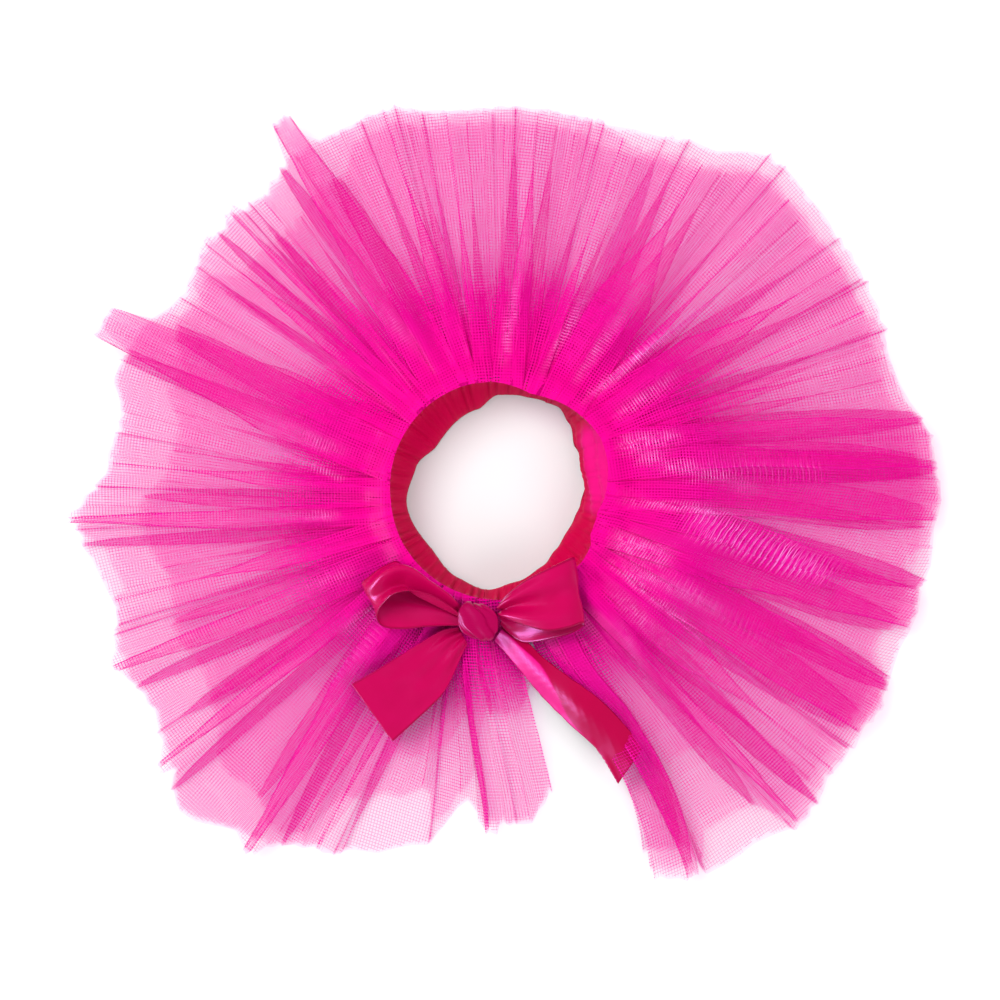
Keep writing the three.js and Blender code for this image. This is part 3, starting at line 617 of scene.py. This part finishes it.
def woven_nylon_net():
    """Woven nylon monofilament net: clear gaps between round dyed threads. The threads pass part of the
    light on, tinted, so each further layer looks deeper and redder; in the gathers the colour is also painted
    deeper and redder, as painted shade. The pitch is 1.08 mm, as in the real one, and a thread is just under
    0.1 mm thick. On a fold's edge and in the gathers the net stands on edge, so its threads look thicker, and
    so do the crosswise ones where they are hatched. Where the net would catch the light, a lilac highlight is
    painted on its crosswise threads."""
    pitch = 1.08
    thread = 0.095
    frayed = 2.2
    cross_stops = (1.6, 0.3)
    dash = 1.7
    thicker_on_edge = 2.0
    thicker_gathered = 4.2
    thicker_hatched = 2.2
    light_passed = 0.75
    net = new_material("woven_nylon_net")
    where = add_node(net, "ShaderNodeUVMap", dict(uv_map="cloth_mm"))
    split = add_node(net, "ShaderNodeSeparateXYZ", i0=where)
    marks = {}
    for name in ("to_hem", "gathered", "on_edge", "gleam", "hatched"):
        marks[name] = (add_node(net, "ShaderNodeAttribute", dict(attribute_name=name)), 2)
    patches = {"noise_dimensions": "2D", "Scale": 0.35, "Detail": 0.0}
    uneven = add_node(net, "ShaderNodeTexNoise", patches, Vector=where)

    # Half a thread, in millimetres, as it looks here.
    edge_part = add_math(net, "MULTIPLY_ADD", marks["on_edge"], thicker_on_edge, 1.0)
    seam_part = add_math(net, "MULTIPLY_ADD", marks["gathered"], thicker_gathered, edge_part)
    half = add_math(net, "MULTIPLY", seam_part, thread / 2)
    hatched_part = add_math(net, "MULTIPLY_ADD", marks["hatched"], thicker_hatched, 1.0)
    cross_half = add_math(net, "MULTIPLY", half, hatched_part)

    # Threads along the strip's width run to the hem and fray there; those across them stop short of it.
    lengthwise = add_math(net, "PINGPONG", (split, 0), pitch / 2)
    crosswise = add_math(net, "PINGPONG", (split, 1), pitch / 2)
    is_length = add_math(net, "LESS_THAN", lengthwise, half)
    is_cross = add_math(net, "LESS_THAN", crosswise, cross_half)
    which = add_math(net, "SNAP", (split, 0), pitch)
    pick = add_node(net, "ShaderNodeTexWhiteNoise", dict(noise_dimensions="1D"), W=which)
    thread_end = add_math(net, "MULTIPLY", pick, frayed)
    length_lasts = add_math(net, "GREATER_THAN", marks["to_hem"], thread_end)
    cross_end = add_math(net, "MULTIPLY_ADD", uneven, *cross_stops)
    cross_lasts = add_math(net, "GREATER_THAN", marks["to_hem"], cross_end)
    length_shows = add_math(net, "MULTIPLY", is_length, length_lasts)
    cross_shows = add_math(net, "MULTIPLY", is_cross, cross_lasts)
    mask = add_math(net, "MAXIMUM", length_shows, cross_shows)

    # Dye: pink with a lilac cast in single layers. In the gathers it is painted deeper and redder: painted
    # shade for the light that passes through many layers there.
    dyes = {"data_type": "RGBA", 6: linear("#F816AE"), 7: linear("#F40CA0")}
    tint = add_node(net, "ShaderNodeMix", dyes, i0=uneven)
    # Painted shade: a deeper, redder colour where the net is gathered.
    gathered_painted_shade = {"data_type": "RGBA", 7: linear("#F40092")}
    deep = add_node(net, "ShaderNodeMix", gathered_painted_shade, i0=marks["gathered"], i6=(tint, 2))

    def dashes(long, apart, strength, thread_shows):
        """Crosswise threads painted lilac as a highlight, in dashes of a length, each as strongly as chance
        has it.
        """
        along = add_math(net, "SNAP", (split, 0), long)
        row = add_math(net, "SNAP", (split, 1), apart)
        place = add_node(net, "ShaderNodeCombineXYZ", None, i0=along, i1=row)
        chance = add_node(net, "ShaderNodeTexWhiteNoise", dict(noise_dimensions="2D"), Vector=place)
        gleams = add_math(net, "MULTIPLY", strength, chance)
        return add_math(net, "MULTIPLY", gleams, thread_shows)

    # Painted highlight: where the net would catch the light, its crosswise threads are painted lilac in short
    # dashes, or in long ones on every second thread as a hatch.
    every_other = add_math(net, "PINGPONG", (split, 1), pitch)
    is_hatch = add_math(net, "LESS_THAN", every_other, cross_half)
    short_dashes = dashes(dash, pitch, marks["gleam"], is_cross)
    long_dashes = dashes(4 * dash, 2 * pitch, marks["hatched"], is_hatch)
    painted_gleam_mask = add_math(net, "ADD", short_dashes, long_dashes, clamp=True)
    lilac = {"data_type": "RGBA", 7: linear("#FFA8F6")}
    bright = add_node(net, "ShaderNodeMix", lilac, i0=painted_gleam_mask, i6=(deep, 2))
    thread_shader = add_node(
        net,
        "ShaderNodeBsdfPrincipled",
        {"Roughness": 0.55, "IOR": 1.3, "Specular Tint": linear("#FF8CD8"), "Sheen Weight": 0.04,
         "Sheen Roughness": 0.4, "Sheen Tint": linear("#FF9CF0")},
        Base_Color=(bright, 2),
    )

    # A lamp's light goes through the gaps and, tinted, through most of each thread.
    path = add_node(net, "ShaderNodeLightPath")
    passed = add_math(net, "MULTIPLY", (path, 1), light_passed)
    tinted = add_node(net, "ShaderNodeBsdfTransparent", {"Color": linear("#FFB4F8")})
    lit_thread = add_node(net, "ShaderNodeMixShader", None, i0=passed, i1=thread_shader, i2=tinted)
    gap = add_node(net, "ShaderNodeBsdfTransparent", {"Color": linear("#FFF3FA")})
    cloth = add_node(net, "ShaderNodeMixShader", None, i0=mask, i1=gap, i2=lit_thread)
    add_node(net, "ShaderNodeOutputMaterial", None, Surface=cloth)
    return net


net_cloth = woven_nylon_net()
for strip in STRIPS:
    layer = gathered_strip(strip)
    layer.data.materials.append(net_cloth)
    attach(layer, "root")
    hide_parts(strip["node"])

# Waistband: 25 mm satin ribbon standing on edge, its two ends run on as the tie. Its lower half is drawn in
# by the gathered seam, so its inner face shows from above, crimson in its own shade and crinkled across.
# at: angle; foot, top: radius of the lower and the upper edge; flare: 1 where it stands out smooth, and its
# upper part is painted bright pink as a highlight.
RIBBON_WIDE = 25.0
RIBBON_THICK = 0.3
BAND = table("at foot top flare", [
    (-98, 35.5, 38.4, 0.0),
    (-80, 33, 38.4, 0.0),
    (-60, 31, 38.4, 0.1),
    (-47, 29, 38.4, 0.2),
    (-33, 28, 38.2, 0.3),
    (-20, 28.6, 37.2, 0.4),
    (-10, 29.6, 37.2, 0.8),
    (2, 30.2, 37.9, 1.0),
    (14, 29.8, 39.2, 1.0),
    (29, 31.2, 39.9, 1.0),
    (44, 34.3, 38.6, 0.3),
    (54, 36.0, 38.4, 0.0),
    (62, 35.2, 38.4, 0.0),
    (75, 34.2, 38.4, 0.0),
    (90, 33.6, 38.4, 0.0),
    (105, 29.5, 38.4, 0.0),
    (145, 27, 38.4, 0.0),
    (165, 30.4, 38.4, 0.0),
    (190, 33, 38.4, 0.0),
    (220, 31.6, 38.4, 0.0),
    (245, 34.2, 38.4, 0.0),
    (262, 35.5, 38.4, 0.0),
])


def band_column(angle, name):
    at = np.array([row["at"] for row in BAND], float)
    values = np.array([row[name] for row in BAND], float)
    i = np.clip(np.searchsorted(at, angle, side="right") - 1, 0, len(at) - 2)
    return values[i] + (values[i + 1] - values[i]) * smooth(angle, at[i], at[i + 1])


def waistband_points():
    """The ribbon's grid of points round the ring, and where a painted highlight lies on it. Its foot is drawn
    in and it is crinkled across; where it flares it stands out from half way up, with fine creases along it."""
    sections, levels = 540, 22
    seam_from, seam_to = -97.9, 261.9
    coarse, fine, lengthwise_deep, past_rim = 0.42, 0.3, 0.55, 0.3
    angle = np.linspace(seam_from, seam_to, sections)[:, None]
    level = np.linspace(0, 1, levels)[None, :]
    foot, top, flare = (band_column(angle, name) for name in ("foot", "top", "flare"))
    height = np.interp(angle, *np.array(RIM, float).T)
    upright = smooth(level, 0, 0.62)
    flared = 0.3 * level + 0.7 * smooth(level, 0.35, 0.95)
    drawn_in = upright * (1 - flare) + flared * flare
    slow_turn = np.sin(np.radians(angle * 7))
    crinkle = coarse * np.sin(np.radians(angle * 61) + 2.2 * slow_turn)
    crinkle = crinkle + fine * np.sin(np.radians(angle * 97 + 40) + 3 * level)
    crinkle = crinkle * (1 - 0.75 * flare) * np.sin(math.pi * np.clip(level * 1.05, 0, 1)) ** 0.6
    lengthwise = lengthwise_deep * flare * np.sin(level * 21 + 1.6 * slow_turn)
    radius = np.minimum(foot + (top - foot) * drawn_in + crinkle + lengthwise, top + past_rim)
    turned = np.radians(angle) + 0 * level
    points = np.stack([radius * np.cos(turned), radius * np.sin(turned), height * level], -1)
    # Painted highlight: where it flares, its upper part is painted bright pink for the light it faces.
    painted_highlight = smooth(flare, 0.4, 1.0) * smooth(level, 0.25, 0.6)
    return points, painted_highlight


def along_and_across(points, wide=RIBBON_WIDE):
    """Ribbon coordinates in millimetres: along it, and across it from one selvedge to the other."""
    middle = points[:, points.shape[1] // 2]
    along = np.concatenate([[0], np.cumsum(np.linalg.norm(np.diff(middle, axis=0), axis=1))])
    across = np.linspace(0, wide, points.shape[1])
    grid = np.stack(np.meshgrid(along, across, indexing="ij"), -1)
    return np.stack([grid[:-1, :-1], grid[:-1, 1:], grid[1:, 1:], grid[1:, :-1]], 2).reshape(-1, 2)


def ribbon_piece(name, points, node, material, painted_highlight=None):
    """A length of ribbon as a thin closed shell on its grid of points, which stands for its solid.
    Its painted-highlight mark, if given, is 1 where its colour is painted bright pink as a highlight."""
    rows, columns = points.shape[:2]
    marks = None if painted_highlight is None else dict(painted_highlight=painted_highlight.ravel())
    piece = add_mesh(name, points.reshape(-1, 3), grid_faces(rows, columns), along_and_across(points), marks)
    thick = piece.modifiers.new("ribbon thickness", "SOLIDIFY")
    thick.thickness = RIBBON_THICK / 1000
    thick.offset = 0
    piece.data.materials.append(material)
    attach(piece, "root")
    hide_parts(node)
    return piece


def woven_satin(name, tones, roughness, index, ribs_deep):
    """Polyester satin ribbon: fine ribs across, a plain selvedge along each side and a slow change of dye.
    tones are its two dyes, the selvedge, and the bright pink of a painted highlight."""
    rib = 0.6
    slubs_high = 0.35
    selvedge = 0.9
    satin = new_material(name)
    where = add_node(satin, "ShaderNodeUVMap", dict(uv_map="cloth_mm"))
    split = add_node(satin, "ShaderNodeSeparateXYZ", i0=where)
    ribs = add_math(satin, "PINGPONG", (split, 0), rib / 2)
    slubs = add_node(satin, "ShaderNodeTexNoise", {"Scale": 0.9, "Detail": 3.0}, Vector=where)
    raised = add_math(satin, "MULTIPLY_ADD", slubs, slubs_high, ribs)
    bump = add_node(satin, "ShaderNodeBump", {"Strength": ribs_deep, "Distance": 0.0003}, Height=raised)
    edge = add_math(satin, "PINGPONG", (split, 1), RIBBON_WIDE / 2)
    is_edge = add_math(satin, "LESS_THAN", edge, selvedge)
    cloud = add_node(satin, "ShaderNodeTexNoise", {"Scale": 0.12, "Detail": 1.0}, Vector=where)
    dye = {"data_type": "RGBA", 6: linear(tones[0]), 7: linear(tones[1])}
    colour = add_node(satin, "ShaderNodeMix", dye, i0=cloud)
    edge_dye = {"data_type": "RGBA", 7: linear(tones[2])}
    edged = add_node(satin, "ShaderNodeMix", edge_dye, i0=is_edge, i6=(colour, 2))
    # Painted highlight: where the mark is 1 the colour turns bright pink, standing in for light the ribbon
    # catches.
    painted_highlight = add_node(satin, "ShaderNodeAttribute", dict(attribute_name="painted_highlight"))
    painted_highlight_dye = {"data_type": "RGBA", 7: linear(tones[3])}
    highlight_painted = add_node(satin, "ShaderNodeMix", painted_highlight_dye, i0=(painted_highlight, 2), i6=(edged, 2))
    shader = add_node(
        satin,
        "ShaderNodeBsdfPrincipled",
        {"Roughness": roughness, "IOR": index, "Specular Tint": linear("#DC96FF"), "Anisotropic": 0.4},
        Base_Color=(highlight_painted, 2),
        Normal=bump,
    )
    add_node(satin, "ShaderNodeOutputMaterial", None, Surface=shader)
    return satin


# The ribbon's face has long floats of thread: deep crimson from straight above, with a lilac gleam where it
# turns to the window. Its back is woven close, so it is duller and a little redder. The last tone of each set
# is the bright pink of a painted highlight.
face_dyes = ("#CC0056", "#C0004C", "#AE0042", "#F01282")
satin_face = woven_satin("satin_ribbon_face", face_dyes, 0.28, 1.5, 0.1)
back_dyes = ("#DA004E", "#CE0044", "#BC003C", "#FA128A")
satin_back = woven_satin("satin_ribbon_back", back_dyes, 0.6, 1.15, 0.25)
points, painted_highlight = waistband_points()
ribbon_piece(
    "waistband_ribbon", points, "waistband", satin_back, painted_highlight
)

# Bow loops: the same ribbon, doubled back from the knot and pinched there, so that soft creases run out
# along it. a and b: the ribbon's two edges at each station, x, y and height; deep: depth of its lengthwise
# creases.
LOOP_LEFT = table("a b deep", [
    ((-13.7, -44.4, 25), (-14.1, -40, 23), 1.3),
    ((-18.3, -41.4, 29), (-19, -35.5, 25.4), 2.6),
    ((-24.3, -38.1, 31.6), (-27.2, -29.8, 27.4), 3.3),
    ((-30.6, -35.8, 33), (-34, -23.6, 28.8), 3.5),
    ((-35.4, -36.2, 32.8), (-40.6, -25.8, 29.2), 2.8),
    ((-38.8, -38.6, 30.6), (-45, -29.6, 28), 1.4),
    ((-41.4, -41.6, 27.6), (-47.6, -32.2, 25.6), 0.3),
    ((-41.8, -45, 24), (-46.2, -32.6, 22.2), 0.3),
    ((-39, -47.6, 22.4), (-41.4, -29, 19), 0.8),
    ((-32.5, -47.9, 22.4), (-34, -28.4, 17.4), 1.2),
    ((-25.6, -47, 22.6), (-26, -32.5, 17.4), 1.4),
    ((-18.6, -46.6, 22.2), (-19, -37.5, 18.6), 1.4),
    ((-13.9, -46.8, 21.6), (-13.9, -42, 20), 1.0),
])
LOOP_RIGHT = table("a b deep", [
    ((-0.1, -39.6, 25.4), (0.3, -43.4, 25.2), 1.4),
    ((3.4, -35.6, 28.6), (3.6, -44.8, 27.4), 2.0),
    ((9.4, -31, 30.6), (10.4, -47.2, 29.4), 1.8),
    ((16.2, -27.4, 31.4), (17.2, -48.6, 30.2), 1.2),
    ((21.4, -25, 30.8), (23.8, -47.6, 29.4), 0.8),
    ((25, -23.4, 28.4), (28.4, -46.2, 27), 0.4),
    ((26, -24, 25.4), (29.2, -47, 25.6), 0.3),
    ((22.4, -27.4, 23), (25, -49.6, 25), 0.4),
    ((15, -32, 21.8), (17, -51.8, 22.2), 0.4),
    ((8, -36, 21.2), (9, -53, 17.6), 0.5),
    ((3.4, -40, 20.6), (4.4, -50.6, 16.4), 0.6),
    ((0.2, -42.4, 20.8), (0.6, -46.8, 19), 1.0),
])


def through(rows, count):
    """A smooth curve through the rows' values, at even steps."""
    values = np.array(rows, float).reshape(len(rows), -1)
    ends = np.vstack([2 * values[0] - values[1], values, 2 * values[-1] - values[-2]])
    t = np.linspace(0, len(rows) - 1, count)
    i = np.minimum(t.astype(int), len(rows) - 2)
    u = (t - i)[:, None]
    p0, p1, p2, p3 = ends[i], ends[i + 1], ends[i + 2], ends[i + 3]
    return 0.5 * (
        2 * p1 + (p2 - p0) * u + (2 * p0 - 5 * p1 + 4 * p2 - p3) * u**2 + (3 * p1 - p0 - 3 * p2 + p3) * u**3
    )


def creased_ribbon(rows, shape, steps=120, across=31):
    """A ribbon between two edges, pushed out of their plane by lengthwise creases of a shape from -1 to 1."""
    a = through([row["a"] for row in rows], steps)
    b = through([row["b"] for row in rows], steps)
    deep = through([row["deep"] for row in rows], steps)
    s = np.linspace(0, 1, across)
    grid = a[:, None] * (1 - s[None, :, None]) + b[:, None] * s[None, :, None]
    tangent = np.gradient(0.5 * (a + b), axis=0)
    normal = np.cross(tangent, b - a)
    normal /= np.linalg.norm(normal, axis=1)[:, None]
    t = np.linspace(0, 1, steps)
    push = deep * shape(s[None, :], t[:, None])
    return grid + normal[:, None] * push[..., None]


def left_creases(s, t):
    """Even creases from edge to edge that sway a little along the loop."""
    return np.cos(2 * math.pi * (s - 0.35 + 0.05 * np.sin(5 * t)) / 0.7)


def right_creases(s, t):
    """A crease and a half that fade to the edges and sway more."""
    return np.cos(2 * math.pi * (1.6 * s + 0.1 * np.sin(4 * t)) + 0.6) * np.sin(math.pi * s) ** 0.5


points = creased_ribbon(LOOP_LEFT, left_creases)
ribbon_piece("loop_left_ribbon", points, "loop_left", satin_face)
points = creased_ribbon(LOOP_RIGHT, right_creases)
ribbon_piece("loop_right_ribbon", points, "loop_right", satin_face)

# Tails: the ribbon's two free ends, pinched at the knot and flat towards their cut ends, lying on the net.
# a and b: the ribbon's edges at each station, x and y; deep: depth of its creases; tuck: how far each edge is
# tucked under; turned: the share of its width where its face is turned over and painted bright pink as a
# highlight.
TAIL_LEFT = table("a b deep tuck turned", [
    ((-14.2, -47.9), (-11, -53.6), 0.9, 1.5, 0),
    ((-20, -49), (-13.4, -58.6), 0.7, 2, 0),
    ((-27.6, -53.4), (-16.4, -65.4), 0.4, 1, 0),
    ((-35.4, -58.2), (-20, -71.6), 0.25, 0.4, 0),
    ((-43.4, -63), (-28, -79.6), 0.15, 0.2, 0),
    ((-51.4, -67.4), (-37.2, -88), 0.1, 0.1, 0),
])
TAIL_RIGHT = table("a b deep tuck turned", [
    ((-1.6, -52.4), (1.4, -47.4), 0.3, 2, 0.8),
    ((2.6, -57.2), (8.8, -52), 0.2, 4, 0.66),
    ((9.2, -65.2), (15.8, -58.6), 0.1, 5, 0.72),
    ((16, -73.2), (24.6, -65.2), 0.1, 5, 0.42),
    ((24.4, -81.4), (34, -72), 0.1, 4.5, 0.08),
    ((34, -90.4), (43.6, -81.6), 0.15, 4, 0),
    ((41.6, -102.6), (50, -90.2), 0.1, 1, 0),
])

# How high a crease is for each millimetre of deep, and how far down a tucked edge lies. The ridge where the
# ribbon turns over is this high for its width, and gets lower between two shares of the tail's length.
CREASES_HIGH = 0.8
TUCKED_DOWN = 0.9
RIDGE = dict(high=0.26, lower_out=0.55, from_to=(0.12, 0.5))


def lying_ribbon(rows, node, waves, steps=110, across=61):
    """A ribbon that follows the middle of its solid, its edges tucked under, with soft creases from the
    knot. turned is how far in from its first edge, as a share of its width, its face is turned over
    and down; that part is painted bright pink as a highlight."""
    a = through([row["a"] for row in rows], steps)
    b = through([row["b"] for row in rows], steps)
    deep = through([row["deep"] for row in rows], steps)
    tuck = through([row["tuck"] for row in rows], steps)
    wide = np.linalg.norm(b - a, axis=1)[:, None]
    s = np.linspace(0, 1, across)[None, :]
    run = s * (wide + 2 * tuck) - tuck
    folded = np.maximum(-run, 0) + np.maximum(run - wide, 0)
    place = np.where(run < 0, -run, np.where(run > wide, 2 * wide - run, run)) / wide
    plan = a[:, None] * (1 - place[..., None]) + b[:, None] * place[..., None]
    angle = np.degrees(np.arctan2(plan[..., 1], plan[..., 0]))
    height = MiddleHeights(node)(angle, np.hypot(plan[..., 0], plan[..., 1]))
    height = height + CREASES_HIGH * deep * np.cos(2 * math.pi * waves * place + 0.8)
    along = np.linspace(0, 1, steps)[:, None]
    turned = np.clip(through([row["turned"] for row in rows], steps), 0, 1)
    ridge = RIDGE["high"] * turned * wide * (1 - RIDGE["lower_out"] * smooth(along, *RIDGE["from_to"]))
    face_slope = (turned - place) / np.maximum(turned, 0.01)
    back_slope = (place - turned) / (1 - turned + 0.01)
    slope = np.where(place < turned, face_slope, back_slope)
    height = height + ridge * (0.5 - slope) * np.where(place < turned, 1.3 - 0.6 * along, 0.7)
    height = height - TUCKED_DOWN * smooth(folded, 0, 1.2)
    # Painted highlight: the turned-over part is painted bright pink where it faces the light.
    painted_highlight = smooth(turned - place, -0.02, 0.02)
    return np.concatenate([plan, height[..., None]], -1), painted_highlight


# The right tail has darker, redder dyes and a duller finish than the left, with its face turned over from the
# knot on; that turned-over part is painted bright pink as a highlight.
turned_dyes = ("#BE0044", "#B2003C", "#A00034", "#F01288")
satin_turned = woven_satin("satin_ribbon_turned", turned_dyes, 0.36, 1.4, 0.15)
points, painted_highlight = lying_ribbon(TAIL_LEFT, "tail_left", 2.5)
ribbon_piece("tail_left_ribbon", points, "tail_left", satin_face, painted_highlight)
points, painted_highlight = lying_ribbon(TAIL_RIGHT, "tail_right", 1.5)
ribbon_piece("tail_right_ribbon", points, "tail_right", satin_turned, painted_highlight)

# Knot: the ribbon wrapped once round the middle of the bow and pulled tight, so it is bunched into close
# creases.

# half_wide, deep, tall: its half sizes; taper: how much narrower it is at front and back; tucked: how much of
# each edge lies under; the others are heights of its folds, and how far the ribbon lies inside these sizes.
KNOT = dict(
    x=-7.2, y=-45.4, z=21.6, half_wide=6.9, taper=3.4, deep=6.3, tall=5.9, tucked=5.4,
    ridge=0.7, groove=0.9, fine=0.14, bulge=0.5, edge_in=1.1, inside=0.6,
)


def knot_points(around=110, across=71):
    """Once round the middle of the bow, narrower at front and back, with one edge drawn over the other."""
    turn = np.linspace(math.radians(-115), math.radians(245), around)[:, None]
    s = np.linspace(0, RIBBON_WIDE, across)[None, :]
    tucked = KNOT["tucked"]
    under = np.maximum(tucked - s, 0) + np.maximum(s - (RIBBON_WIDE - tucked), 0)
    place = (np.clip(s, tucked, RIBBON_WIDE - tucked) - tucked) / (RIBBON_WIDE - 2 * tucked) * 2 - 1
    half = KNOT["half_wide"] - KNOT["taper"] * np.abs(np.cos(turn)) ** 1.6
    x = KNOT["x"] + place * half - np.sign(place) * under * 0.9 - 1.2 * np.cos(turn)
    slant = place + 0.75 * np.cos(turn)
    slanted = KNOT["ridge"] * smooth(slant, -0.95, -0.75) - KNOT["groove"] * smooth(slant, 0.32, 0.46)
    creases = slanted + KNOT["fine"] * np.sin(9.0 * slant + 1.2) + KNOT["bulge"] * (1 - np.abs(place) ** 2)
    outward = creases - KNOT["edge_in"] * smooth(under, 0, 1.2)
    round_y = np.sign(np.cos(turn)) * np.abs(np.cos(turn)) ** 0.6
    round_z = np.sign(np.sin(turn)) * np.abs(np.sin(turn)) ** 0.36
    y = KNOT["y"] + (KNOT["deep"] - KNOT["inside"] + outward) * round_y
    z = KNOT["z"] + (KNOT["tall"] - KNOT["inside"] + outward) * round_z
    return np.stack([x, y, z], -1)


# Painted shade: the knot's dyes are darker than the rest of the ribbon, for the shade in its tight creases.
knot_painted_shade_dyes = ("#B40050", "#A80048", "#980040", "#F01282")
satin_knot_painted_shade = woven_satin("satin_ribbon_knot_painted_shade", knot_painted_shade_dyes, 0.3, 1.4, 0.2)
ribbon_piece("knot_ribbon", knot_points(), "knot", satin_knot_painted_shade)

# Studio: a plain pale surface, soft boxes on both sides, and the camera straight above, as the photograph
# has it.
MM_PER_PIXEL = 0.352
IMAGE_MIDDLE = (500, 500)
RING_PIXEL = (499, 490)
CAMERA_HEIGHT = 1.4
SENSOR = 36.0
FLOOR_GAP = 0.0002
SKY_LIGHT = 0.56
SKY_IN_GLOSS = 0.06

floor_mesh = bpy.data.meshes.new("pale_surface")
side = 3.0
corners = [(-side, -side, 0), (side, -side, 0), (side, side, 0), (-side, side, 0)]
floor_mesh.from_pydata(corners, [], [(0, 1, 2, 3)])
floor = bpy.data.objects.new("pale_surface", floor_mesh)
floor.location.z = -FLOOR_GAP
bpy.context.scene.collection.objects.link(floor)
paper = new_material("matt_white_paper")
pale = {"Base Color": linear("#F7F6F7"), "Roughness": 0.9}
paper_shader = add_node(paper, "ShaderNodeBsdfPrincipled", pale)
add_node(paper, "ShaderNodeOutputMaterial", None, Surface=paper_shader)
floor_mesh.materials.append(paper)

camera_data = bpy.data.cameras.new("camera")
camera_data.sensor_width = SENSOR
camera_data.lens = SENSOR * CAMERA_HEIGHT * 1000 / (MM_PER_PIXEL * 1000)
camera = bpy.data.objects.new("camera", camera_data)
camera.location = (
    (RING_CENTRE[0] + (IMAGE_MIDDLE[0] - RING_PIXEL[0]) * MM_PER_PIXEL) / 1000,
    (RING_CENTRE[1] - (IMAGE_MIDDLE[1] - RING_PIXEL[1]) * MM_PER_PIXEL) / 1000,
    CAMERA_HEIGHT,
)
bpy.context.scene.collection.objects.link(camera)
bpy.context.scene.camera = camera


def soft_box(name, place, size, power, gleams):
    """A square lamp turned to the dress. One that gleams only shows in shiny cloth; the others only light
    it."""
    light = bpy.data.lights.new(name, "AREA")
    light.size = size
    light.energy = power
    lamp = bpy.data.objects.new(name, light)
    lamp.location = place
    lamp.rotation_euler = (Vector((0, 0, 0)) - Vector(place)).to_track_quat("-Z", "Y").to_euler()
    lamp.visible_glossy = gleams
    lamp.visible_diffuse = not gleams
    bpy.context.scene.collection.objects.link(lamp)


soft_box("key_soft_box", (-0.75, 0.5, 1.35), 0.8, 17, False)
soft_box("fill_soft_box", (1.0, -0.5, 1.3), 1.0, 9, False)
soft_box("low_window", (-0.9, -0.6, 0.45), 0.7, 30, True)
world = bpy.data.worlds.new("studio")
world.use_nodes = True
sky = world.node_tree.nodes["Background"]
sky.inputs["Color"].default_value = (1, 1, 1, 1)
sky_path = world.node_tree.nodes.new("ShaderNodeLightPath")
sky_strength = world.node_tree.nodes.new("ShaderNodeMapRange")
sky_strength.inputs["To Min"].default_value = SKY_LIGHT
sky_strength.inputs["To Max"].default_value = SKY_IN_GLOSS
world.node_tree.links.new(sky_path.outputs["Is Glossy Ray"], sky_strength.inputs["Value"])
world.node_tree.links.new(sky_strength.outputs["Result"], sky.inputs["Strength"])
bpy.context.scene.world = world
bpy.context.scene.view_settings.view_transform = "Standard"
bpy.context.scene.cycles.transparent_max_bounces = 48
bpy.context.scene.cycles.max_bounces = 4
bpy.context.scene.cycles.diffuse_bounces = 1
bpy.context.scene.cycles.glossy_bounces = 2
